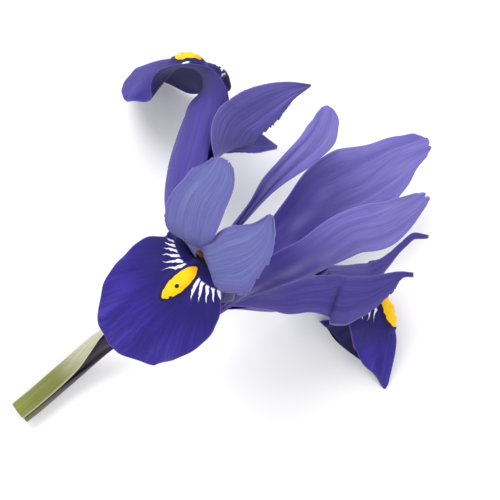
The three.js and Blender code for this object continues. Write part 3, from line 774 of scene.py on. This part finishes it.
tree.links.new(ground, skin.inputs["Base Color"])
PAPILLAE = 2600.0  # across a petal, of the tiny cones that make it velvety
relief(tree, skin, maths(tree, "MULTIPLY_ADD", grain(tree, PAPILLAE), 0.25, height), 0.00012)

for seed, name in enumerate(FALLS):
    fall = FALLS[name]
    mesh = petal_mesh(
        f"fall_{name}_petal",
        fall_rib(name),
        fall["outline"],
        rows=170,
        columns=90,
        thick=0.34,
        fold=fall["fold"],
        fold_at=fall["crease"],
        datum=fall["haft"],
        shape=fall_shape(seed, fall),
        veins=fan,
    )
    finished(f"fall_{name}", mesh, velvet)


# ---- The stamens ----
# One under each style arm: a thin violet filament from the rim of the tube, and a long brown
# anther of two pollen sacs that open outwards and shed their grains.

STAMEN_LIFT = [[TEPAL_RING - STAMEN_RING], [0.9], [1.0], [1.6], [1.8]]  # above the haft
STAMENS = {"front": (25.5, 1.3), "right": (24, 0), "back": (20.5, 0)}  # length, lean to the side
FILAMENT = 0.32  # radius
SAC = (0.62, 0.42)  # how wide and how high a pollen sac is
ANTHER_FROM = 0.56  # share of the stamen's length at which the anther is full

pollen_brown, tree, skin = tissue("anther_brown", 0.75, 0.05, 0.2)
place = trace(tree, "along")
ground = blended(tree, grain(tree, 1500.0, 3.0), colour("#57351a"), colour("#8a5f30"))
ground = blended(tree, rising(tree, place, ANTHER_FROM, ANTHER_FROM - 0.06), ground, colour("#5a4a9a"))
tree.links.new(ground, skin.inputs["Base Color"])
relief(tree, skin, grain(tree, 4000.0, 3.0), 0.0001)
grain_gold, tree, skin = tissue("pollen_gold", 0.7, 0.05, 0.1)
ground = blended(tree, grain(tree, 900.0), colour("#8c5a20"), colour("#c08a3c"))
tree.links.new(ground, skin.inputs["Base Color"])


def grains(tree, given):
    """Pollen grains that cling to the anther."""
    on_anther = tree.nodes.new("FunctionNodeCompare")
    plug(tree, on_anther.inputs[0], trace_field(tree, "along"))
    on_anther.inputs[1].default_value = ANTHER_FROM
    scatter = node_with(
        tree, "GeometryNodeDistributePointsOnFaces",
        Mesh=given["Geometry"], Selection=on_anther.outputs[0], Density=given["Grains"], Seed=given["Seed"],
    ).outputs[0]
    grain = node_with(tree, "GeometryNodeMeshIcoSphere", Radius=given["Grain"], Subdivisions=1).outputs[0]
    return node_with(tree, "GeometryNodeInstanceOnPoints", Points=scatter, Instance=grain).outputs[0]


def rod_mesh(name, rib, radii, rows, sides):
    """A closed rod along a rib; radii gives its outline at a share of its length and an angle."""
    share = np.linspace(0, 1, rows + 1)
    point, face, side = rib.frame(share)
    angle = np.linspace(0, 2 * np.pi, sides, endpoint=False)
    wide, high = radii(share[:, None], angle[None, :])
    ring = point[:, None] + side[:, None] * wide[..., None] + face[:, None] * high[..., None]
    verts = np.vstack([ring.reshape(-1, 3), point[:1], point[-1:]])
    quads, first, last = [], len(verts) - 2, len(verts) - 1
    for i in range(rows):
        for j in range(sides):
            p, q = i * sides + j, i * sides + (j + 1) % sides
            quads.append((p, p + sides, q + sides, q))
    for j in range(sides):
        quads.append((first, j, (j + 1) % sides))
        quads.append((last, rows * sides + (j + 1) % sides, rows * sides + j))
    mesh = bpy.data.meshes.new(name)
    mesh.from_pydata(((verts + THROAT) * MM).tolist(), [], quads)
    mesh.polygons.foreach_set("use_smooth", np.ones(len(quads), bool))
    values = np.concatenate([np.repeat(share, sides), [0, 1]])
    mesh.attributes.new("along", "FLOAT", "POINT").data.foreach_set("value", values)
    return mesh


def joined(name, meshes):
    """One mesh of several, with their maps and numbers kept."""
    objects = [bpy.data.objects.new(f"{name}_half", mesh) for mesh in meshes]
    for o in objects:
        scene.collection.objects.link(o)
    first = objects[0]
    with bpy.context.temp_override(active_object=first, selected_editable_objects=objects, object=first):
        bpy.ops.object.join()
    mesh = first.data
    mesh.name = name
    bpy.data.objects.remove(first)
    return mesh


def anther_outline(share, angle):
    """A round filament that swells into two sacs with a furrow between them."""
    anther = np.clip((share - ANTHER_FROM + 0.06) / 0.06, 0, 1) ** 0.7
    anther = anther * np.sqrt(np.clip((1 - share) / 0.06, 0.02, 1))
    furrows = 0.42 * np.exp(-((np.sin(angle) ** 2 - 1) ** 2) / 0.05)
    sacs = 1 - furrows - 0.2 * np.exp(-((np.sin(angle) + 1) ** 2) / 0.02)
    wide = FILAMENT + (SAC[0] * sacs - FILAMENT) * anther
    high = FILAMENT * 0.9 + (SAC[1] * sacs - FILAMENT * 0.9) * anther
    return wide * np.cos(angle), high * np.sin(angle)


for seed, name in enumerate(FALLS):
    reach, aside = STAMENS[name]
    share = np.linspace(0, 1, 9)
    point, face, sideways = fall_rib(name).frame(share * reach / FALLS[name]["outline"][-1][0])
    leaning = sideways * aside * share[:, None] ** 2
    rib = Midrib(point + face * smooth(STAMEN_LIFT, share) + leaning, face)
    body = rod_mesh(f"stamen_{name}_body", rib, anther_outline, 150, 28)
    body.materials.append(pollen_brown)
    sizes = {"Grains": 3.2e7, "Grain": 0.00005, "Seed": seed, "Skin": grain_gold}
    pollen = grown(f"stamen_{name}_pollen", body.copy(), sizes, grains)
    put_in(f"stamen_{name}_body", joined(f"stamen_{name}", [body, pollen]), f"stamen_{name}")


# ---- The standards ----
# Three narrow inner petals that stand up between the falls: a thin claw, then a long blade
# of satin blue-violet tissue, with a nicked tip.

# spread: how far the foot leans outwards; nick: depth of the notch at the tip
STANDARDS = {
    "left": dict(
        turn=150, spread=2, nick=0.15,
        outline=[
            [0, 0.7, 0.7, 0, 0.37],
            [7, 0.8, 0.8, 0, 0.4],
            [14, 1.02, 1.02, 0, 0.4],
            [21, 1.15, 0.9, 0, 0.4],
            [27, 2.45, 1.28, 0, 0.26],
            [34, 2.22, 2.69, 0, 0.16],
            [40, 2.2, 3.14, 0.8, 0.1],
            [44, 1.9, 2.67, 2, 0.1],
        ],
        points=[
            [1, 6.2, 5.5], [3.9, 10.3, 8], [7.2, 14.3, 9.5], [11.2, 19.1, 10],
            [14.9, 22.9, 10], [19.7, 28.1, 10], [21.6, 32.9, 10],
        ],
        faces=[
            [0.8, -0.3, -0.4], [0.75, -0.4, 0.1], [0.5, -0.4, 0.7], [0.4, -0.3, 0.9],
            [0.4, -0.2, 0.9], [0.3, -0.2, 0.9], [0.3, -0.2, 0.9],
        ],
    ),
    "near": dict(
        turn=31, spread=1, nick=0.9,
        outline=[
            [0, 0.65, 0.65, 0, 0.42],
            [6, 1.21, 1.21, 0, 0.34],
            [13, 2.04, 3.95, 0, 0.23],
            [21, 2.37, 4.67, 0, 0.12],
            [30, 4.16, 4.03, 0, 0.07],
            [39, 4.11, 3.75, 0.8, 0.06],
            [46, 2.13, 2.29, 2.6, 0.06],
        ],
        points=[
            [6.2, 0.4, 5.4], [11.3, 3, 10.9], [17.6, 6.1, 13.5], [24.7, 11.5, 14.3],
            [30.7, 13.4, 15.1], [37.7, 17.9, 15.7],
        ],
        faces=[
            [-0.5, 0.7, -0.4], [-0.3, 0.6, -0.7], [-0.25, 0.5, -0.8], [-0.2, 0.4, -0.9],
            [-0.2, 0.4, -0.9], [-0.2, 0.4, -0.9],
        ],
    ),
    "far": dict(
        turn=267, spread=1.2, nick=0.8,
        outline=[
            [0, 0.77, 0.77, 0, 0.37],
            [6, 1.43, 1.43, 0, 0.3],
            [13, 2.16, 2.85, 0, 0.2],
            [21, 4.06, 4.85, 0, 0.1],
            [30, 7.34, 5.62, 0, 0.06],
            [39, 4.4, 5.74, 0.8, 0.05],
            [46, 2.88, 2.49, 2.6, 0.05],
        ],
        points=[
            [8.7, 7.3, -5.4], [15.5, 13.4, -8.1], [20.9, 17.7, -8.1], [27.4, 20.6, -7],
            [33.2, 24.6, -5.6], [39.7, 27.4, -5],
        ],
        faces=[
            [-0.6, -0.4, 0.7], [-0.3, -0.3, 0.9], [-0.15, -0.3, 0.95], [-0.1, -0.2, 1],
            [-0.1, -0.1, 1], [-0.1, -0.1, 1],
        ],
    ),
}


def standard_shape(seed, nick):
    """A softly waved margin, shallow furrows, and a tip with a notch as deep as nick."""

    def shape(across, along, distance):
        edge = np.abs(across) ** 3
        waver = 0.05 * np.sin(17 * along + 3 * across + seed) + 0.03 * np.sin(43 * along + 2 * seed)
        inset = edge * waver * along
        rise = 0.5 * edge * np.sin(9 * along + 2.5 * across) * along
        furrow = 0.22 * np.cos(2.4 * across * np.pi) * np.clip(distance / 12, 0, 1)
        rise = rise + furrow * (0.6 + 0.4 * np.sin(4 * along + seed))
        tip = np.clip((along - 0.8) / 0.2, 0, 1)
        notch = 0.5 * np.exp(-((across - 0.1) ** 2) / 0.02) + 0.12 * np.sin(11 * across + seed)
        push = tip * (notch + 0.06 * np.sin(23 * across)) * nick
        return inset, rise, push

    return shape


satin, tree, skin = tissue("standard_satin", 0.5, 0.16, 0.05)
band, line, height = veins_in(tree, 5.0, 26.0, 0.2)
side, ahead = flat_place(tree)
ground = blended(tree, rising(tree, ahead, 19.0, 37.0), colour("#352a78"), colour("#7971b8"))
ground = tinted(tree, ground, "#493e90", band, 0.35)
ground = tinted(tree, ground, "#3f3484", minus(tree, 1.0, line), 0.22)
# painted light: pale patches and a paler margin, where light shines through the thin standards
see_through_patch = mottle(tree, spot(tree, times(tree, side, 0.16), times(tree, ahead, 0.07)), 1.0, 1.0)
ground = blended(tree, times(tree, rising(tree, see_through_patch, 0.5, 0.7), 0.45), ground, colour("#817bb2"))
rim = rising(tree, trace(tree, "margin"), 0.93, 1.0)
ground = tinted(tree, ground, "#7f77b3", rim, 0.35)
tree.links.new(ground, skin.inputs["Base Color"])
relief(tree, skin, maths(tree, "MULTIPLY_ADD", grain(tree, PAPILLAE), 0.3, height), 0.00012)

for seed, name in enumerate(STANDARDS):
    petal = STANDARDS[name]
    start, looks = foot(petal["turn"], TEPAL_RING, petal["spread"])
    rib = Midrib(start + petal["points"], looks + petal["faces"])
    mesh = petal_mesh(
        f"standard_{name}_petal",
        rib,
        petal["outline"],
        rows=150,
        columns=64,
        thick=0.3,
        shape=standard_shape(seed, petal["nick"]),
    )
    finished(f"standard_{name}", mesh, satin)


# ---- The style arms ----
# Three petal-like branches of the style. Each arches over the haft of its fall and splits at
# its end into two upturned crest lobes with toothed margins. Its two halves meet in a keel.

HALF_OUTLINE = [
    # share of the arm, half widths, lag, bend
    [0, 0.55, 0.55, 0, 0],
    [0.3, 1.8, 1.8, 0, -0.1],
    [0.6, 3.0, 3.0, 0, -0.12],
    [0.88, 3.8, 3.8, 0, -0.1],
]
ARM_START = np.array([TEPAL_RING - STYLE_RING, 0.25, 0])  # lift, offset and lean at the rim, as place
ARMS = {"front": 20.5, "right": 24, "back": 20}  # millimetres to where the lobes part
# painted light: how far each arm's crests stand in back-light, which paints them from violet to pale
# grey-blue
BACKLIT_SHARE = {"front": 1.0, "right": 0.0, "back": 0.6}  # from violet to pale grey-blue
# side: which half of the arm the lobe ends; place: where that half's midrib is when the lobe
# starts, as lift above the haft, offset from the keel and lean of its face; teeth: how deep the
# saw teeth are on its left and right; the outline's distances count from the end of the arm.
LOBES = {
    "front": [
        dict(
            side=1, place=(4.5, 3.1, 0.5), fold=(0, 0), teeth=(0, 0.35),
            outline=[
                [4, 3.08, 3.01, 0, 0],
                [8.4, 1.59, 3.3, 0, 0.05],
                [11.5, 3.84, 4.29, 0, 0.06],
                [15, 4.76, 4.83, 0.2, 0.06],
                [18.5, 4.7, 3.92, 0.8, 0.05],
                [21.5, 3.82, 3.66, 1.4, 0.03],
                [24, 2.16, 1.79, 1, 0.03],
            ],
            points=[
                [0.4, 10, 26], [-0.4, 10, 29.6], [-0.8, 11.5, 32], [-0.4, 14.3, 33.2],
                [0.6, 17.1, 33.6], [2.9, 20.3, 33.3], [4.2, 23.5, 32],
            ],
            faces=[
                [0.5, 0.85, 0.1], [0.4, 0.7, -0.5], [0.25, 0.3, -0.9], [0.1, 0.1, -1],
                [0, 0, -1], [0, -0.1, -1], [0, -0.2, -1],
            ],
        ),
        dict(
            side=-1, place=(4.5, 3.1, 0.5), fold=(0, 0), teeth=(1, 0),
            outline=[
                [4, 2.5, 3.3, 0, 0],
                [7.5, 2.44, 2.58, 0, 0.03],
                [11, 4.64, 2.87, 0, 0.04],
                [14.5, 7.05, 4.07, 0, 0.05],
                [17.5, 4.63, 4.1, 0.3, 0.04],
                [20.5, 2.47, 3.36, 0.6, 0.02],
                [23.5, 0.59, 0.79, 0.6, 0],
            ],
            points=[
                [3, 7.4, 27.4], [1.8, 7.4, 30.2], [3.1, 7.4, 31.8], [5.5, 8.3, 32.8],
                [8.5, 9.3, 33.2], [10.6, 11.4, 33], [11.9, 14.5, 32.3],
            ],
            faces=[
                [0.8, 0.5, 0.2], [0.8, 0.3, -0.5], [0.4, 0.1, -0.9], [0.1, 0, -1],
                [0, 0, -1], [0, 0, -1], [0, 0, -1],
            ],
        ),
    ],
    "right": [
        dict(
            side=1, place=(3.1, 4.4, 1.7), fold=(0, 0), teeth=(0.1, 1),
            outline=[
                [3, 1.89, 7.04, 0.41, -0.03],
                [6, 1.94, 5.48, -0.05, -0.02],
                [9, 1.6, 3.44, -0.01, 0],
                [12, 1.05, 2.11, 0.19, 0],
                [14, 0.61, 0.48, 0.09, 0],
                [16, 0.35, 0.33, 0, 0],
            ],
            points=[
                [25.3, 2.7, -4.9], [29.4, 2.9, -4.5], [33.9, 4.5, -4], [36.6, 4.7, -4],
            ],
            faces=[
                [0.35, 0.35, 0.87], [0.15, 0.2, 0.95], [0, 0.1, 1], [0, 0, 1],
            ],
        ),
        dict(
            side=-1, place=(4.5, 3.1, 0.5), fold=(0, 0), teeth=(0.6, 0.2),
            outline=[
                [2, 2.68, 3.37, 0, -0.04],
                [6, 3.21, 3.99, 0, -0.02],
                [10, 1.29, 1.83, 0, 0],
                [14, 1.08, 0.45, 0, 0],
                [17, 0.2, 0.85, 0, 0],
                [19.1, 0.2, 0.2, 0, 0],
            ],
            points=[
                [26, 5.1, -9.7], [28.6, 5, -8.5], [30.6, 6, -7.5], [33.2, 8.1, -6.8],
                [35.1, 9.8, -6.2], [36.8, 11.7, -5.8], [39.3, 11.3, -5.6],
            ],
            faces=[
                [0, 0.8, 0.5], [-0.1, 0.7, 0.6], [-0.2, 0.6, 0.7], [-0.2, 0.5, 0.8],
                [-0.2, 0.4, 0.85], [-0.1, 0.3, 0.9], [0, 0.2, 1],
            ],
        ),
    ],
    "back": [
        dict(
            side=-1, place=(6.5, 1.2, 0.3), fold=(-0.2, -0.15), teeth=(0.2, 1),
            outline=[
                [2, 3.58, 6.22, 0, -0.04],
                [6, 4.89, 5.08, 0, 0],
                [10, 6.12, 4.15, 0.3, 0.03],
                [14, 6.16, 3.91, 0.4, 0.04],
                [18, 3.33, 1.71, 0.4, 0.02],
                [21.5, 0.2, 0.2, 0, 0],
            ],
            points=[
                [5.5, 28.9, -0.5], [8.6, 31.6, 1], [12, 33.6, 2.2], [15.4, 35.4, 3],
                [18.8, 36.8, 3.4],
            ],
            faces=[
                [0.5, -0.3, 0.7], [0.3, -0.4, 0.8], [0.25, -0.4, 0.85], [0.2, -0.3, 0.9],
                [0.2, -0.3, 0.9],
            ],
        ),
        dict(
            side=1, place=(6.5, 1, 0.5), fold=(0, 0), teeth=(0.3, 0.6),
            outline=[
                [2, 3.2, 3.2, 0, 0],
                [6, 3.2, 3.06, 0, 0],
                [10, 2.49, 1.62, 0, 0],
                [13, 2.52, 1.05, 0, 0],
                [16, 0.2, 0.2, 0, 0],
            ],
            points=[
                [2.3, 27.8, -5.2], [5.6, 27.4, -4.8], [9.4, 26.8, -4.2], [13.2, 26.6, -3.6],
            ],
            faces=[
                [0.4, -0.2, 0.9], [0.2, -0.2, 0.95], [0.1, -0.2, 1], [0.1, -0.2, 1],
            ],
        ),
    ],
}


def teeth(position, pitch, seed):
    """Uneven saw teeth along a margin, from 0 to 1."""
    waver = 0.35 * np.sin(1.7 * position + seed) + 0.2 * np.sin(3.9 * position + 2 * seed)
    drift = position / pitch + waver
    return (drift - np.floor(drift)) ** 1.6


def crest_shape(seed, arm, toothed):
    """Saw teeth on the margins past the arm, as deep as toothed says, on a waved lobe."""

    def shape(across, along, distance):
        past = distance - arm
        edge = np.abs(across) ** 4
        lobe = np.clip((past - 5) / 5, 0, 1)
        saw = np.where(across < 0, toothed[0], toothed[1]) * teeth(distance, 1.5, seed)
        inset = edge * lobe * (0.12 * saw + 0.04 * np.sin(9 * along + seed))
        rise = 0.45 * np.abs(across) ** 3 * np.sin(9 * along + 2.5 * across + seed) * lobe
        rise = rise + 0.05 * np.cos(11 * across) * lobe
        tip = np.clip((along - 0.88) / 0.12, 0, 1)
        push = tip * (0.4 * teeth(across * 5, 1.3, seed) - 0.1)
        return inset, rise, push

    return shape


crest, tree, skin = tissue("style_crest", 0.5, 0.18, 0.04)
band, line, height = veins_in(tree, 6.0, 30.0, 0.12)
side, ahead = flat_place(tree)
# painted light: the more an arm stands in back-light, the paler and bluer its colours
lit = trace(tree, "lit")
ground = blended(tree, rising(tree, lit, 0.0, 0.6), colour("#493f8e"), colour("#7266b6"))
ground = blended(tree, rising(tree, lit, 0.6, 1.0), ground, colour("#6a6ca2"))
band_colour = blended(tree, lit, colour("#352d74"), colour("#565a98"))
ground = blended(tree, times(tree, band, 0.5), ground, band_colour)
line_colour = blended(tree, lit, colour("#2e276c"), colour("#3d4a90"))
ground = blended(tree, times(tree, minus(tree, 1.0, line), 0.5), ground, line_colour)
edge = rising(tree, trace(tree, "margin"), 0.5, 1.0)
ground = tinted(tree, ground, "#615197", edge, 0.4)
rim = rising(tree, trace(tree, "margin"), 0.96, 1.0)
ground = tinted(tree, ground, "#8883ad", rim, 0.5)
# painted shade: the front arm's crests darken to navy where they stand in the shaded throat
deep = times(tree, rising(tree, ahead, 13.0, 4.0), power(tree, lit, 9.0))
ground = tinted(tree, ground, "#1a1352", deep, trace(tree, "upper"))
tree.links.new(ground, skin.inputs["Base Color"])
relief(tree, skin, maths(tree, "MULTIPLY_ADD", grain(tree, PAPILLAE), 0.25, height), 0.00014)


for seed, name in enumerate(LOBES):
    arm, whole = ARMS[name], FALLS[name]["outline"][-1][0]
    under = fall_rib(name)
    halves = []
    for lobe in LOBES[name]:
        share = np.linspace(0, 1, 7)
        point, face, sideways = under.frame(share * arm / whole)
        place = ARM_START + share[:, None] * (np.array(lobe["place"]) - ARM_START)
        lift, offset, lean = place.T[..., None]
        line_points = point + face * lift + sideways * lobe["side"] * offset
        looks = face + sideways * lobe["side"] * lean
        rib = Midrib(np.vstack([line_points, lobe["points"]]), np.vstack([looks, lobe["faces"]]))
        outline = [[part * arm, *rest] for part, *rest in HALF_OUTLINE]
        outline += [[arm + past, *rest] for past, *rest in lobe["outline"]]
        half = petal_mesh(
            f"style_{name}_{lobe['side']}",
            rib,
            outline,
            rows=160,
            columns=56,
            thick=0.3,
            fold=lobe["fold"],
            fold_at=arm,
            datum=arm + 6,
            shape=crest_shape(seed + lobe["side"], arm, lobe["teeth"]),
        )
        halves.append(half)
    mesh = joined(f"style_arm_{name}_petal", halves)
    light = np.full(len(mesh.vertices), BACKLIT_SHARE[name])
    mesh.attributes.new("lit", "FLOAT", "POINT").data.foreach_set("value", light)
    finished(f"style_arm_{name}", mesh, crest)
